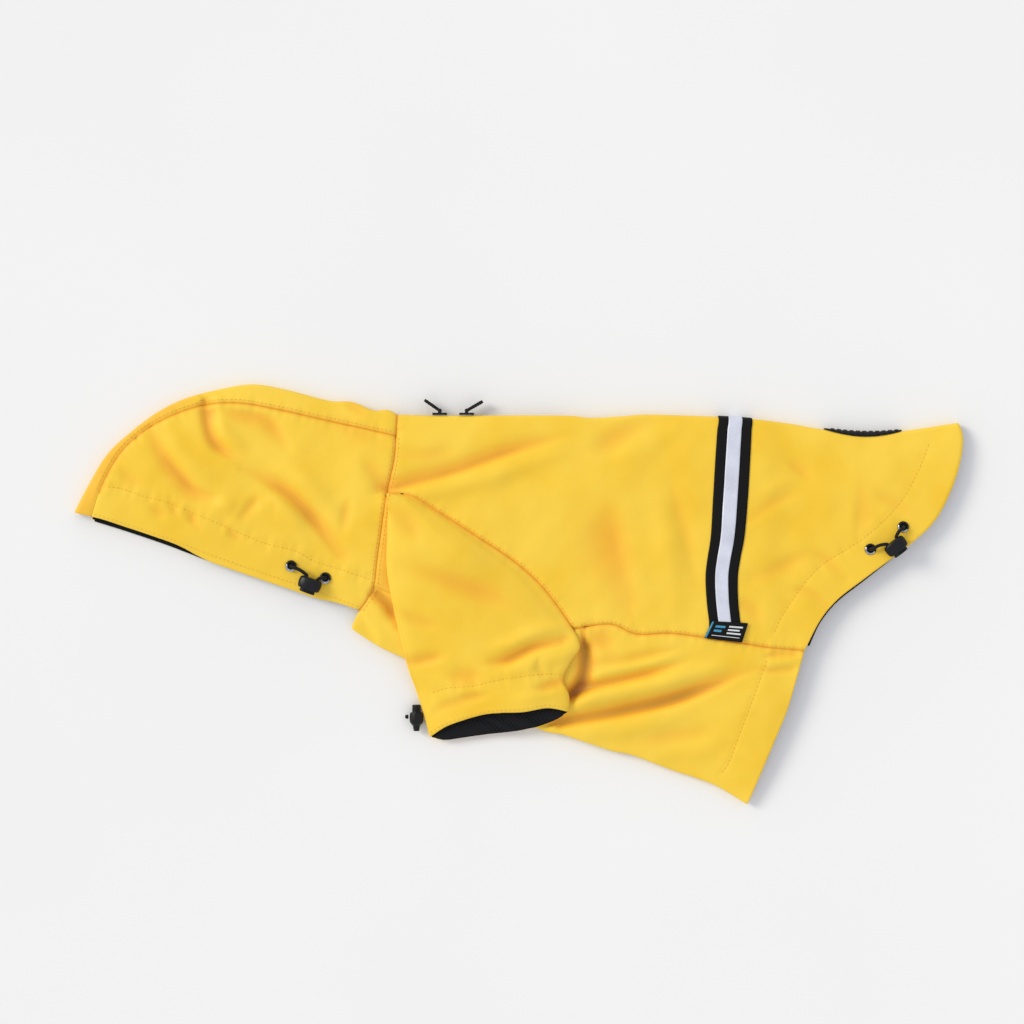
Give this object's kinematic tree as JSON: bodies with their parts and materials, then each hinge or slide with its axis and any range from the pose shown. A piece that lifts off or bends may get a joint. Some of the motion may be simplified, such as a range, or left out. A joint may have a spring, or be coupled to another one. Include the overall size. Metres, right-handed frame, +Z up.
{
  "type": "dog raincoat",
  "caption": "Hooded dog raincoat laid flat on its side, with short sleeves, a reflective band, a back zip and drawcords at hood, hem and cuff.",
  "frame": {"origin": "middle of the garment's footprint, on the surface that it lies on", "axes": "+X from the hood towards the tail hem, +Y towards the back (spine fold), +Z up off the surface; the garment's left side faces up"},
  "size_m": [0.665, 0.3156, 0.0248],
  "materials": {
    "yellow_shell": "matt coated polyester, woven",
    "black_mesh_lining": "open knitted mesh",
    "black_webbing": "woven tape ground",
    "reflective_silver": "glass bead reflective film on cloth",
    "woven_label": "damask woven label with plain bars",
    "black_rubber": "moulded, satin",
    "zip_tape": "woven tape and nylon coil",
    "zip_metal": "black lacquered zinc",
    "zip_pull_rubber": "moulded, satin",
    "eyelet_metal": "black lacquered brass",
    "black_nylon": "moulded nylon, fine texture",
    "black_cord": "braided elastic cord"
  },
  "bodies": {
    "root": {"back_left": "yellow_shell", "back_right": "yellow_shell", "chest_panel": "yellow_shell", "hood_side_left": "yellow_shell", "hood_side_right": "yellow_shell", "hood_crown": "yellow_shell", "sleeve_left": "yellow_shell", "sleeve_left_yoke": "yellow_shell", "sleeve_right": "yellow_shell", "hood_lining": "black_mesh_lining", "hem_lining": "black_mesh_lining", "cuff_lining": "black_mesh_lining", "reflective_tape": "black_webbing", "reflective_strip": "reflective_silver", "woven_label": "woven_label", "tail_badge": "black_rubber", "zip": "zip_tape", "zip_slider_front": "zip_metal", "zip_slider_rear": "zip_metal", "hood_eyelet_front": "eyelet_metal", "hood_eyelet_rear": "eyelet_metal", "hem_eyelet_upper": "eyelet_metal", "hem_eyelet_lower": "eyelet_metal", "hood_lock": "black_nylon", "hem_lock": "black_nylon", "cuff_lock": "black_nylon", "hood_cord_front": "black_cord", "hood_cord_rear": "black_cord", "hem_cord_upper": "black_cord", "hem_cord_lower": "black_cord", "cuff_cord_knot": "black_cord"},
    "front_pull": {"zip_pull_front": "zip_pull_rubber"},
    "rear_pull": {"zip_pull_rear": "zip_pull_rubber"},
    "hood_button": {"hood_lock_button": "black_nylon"},
    "hem_button": {"hem_lock_button": "black_nylon"},
    "cuff_button": {"cuff_lock_button": "black_nylon"}
  },
  "joints": [
    {"name": "front_pull_hinge", "type": "hinge", "parent": "root", "child": "front_pull", "pos_m": [-0.0584, 0.1381, 0.00745], "axis": [0, 0, 1], "range_deg": [-85, 35]},
    {"name": "rear_pull_hinge", "type": "hinge", "parent": "root", "child": "rear_pull", "pos_m": [-0.0382, 0.13809, 0.00744], "axis": [0, 0, 1], "range_deg": [-30, 90]},
    {"name": "hood_button_slide", "type": "slide", "parent": "root", "child": "hood_button", "axis": [0.3419, 0.9397, 0], "range_m": [0, 0.0023], "stiffness_N_per_m": 400},
    {"name": "hem_button_slide", "type": "slide", "parent": "root", "child": "hem_button", "axis": [-0.6159, 0.7878, 0], "range_m": [0, 0.0023], "stiffness_N_per_m": 400},
    {"name": "cuff_button_slide", "type": "slide", "parent": "root", "child": "cuff_button", "axis": [0, -1, 0], "range_m": [0, 0.0023], "stiffness_N_per_m": 400}
  ]
}
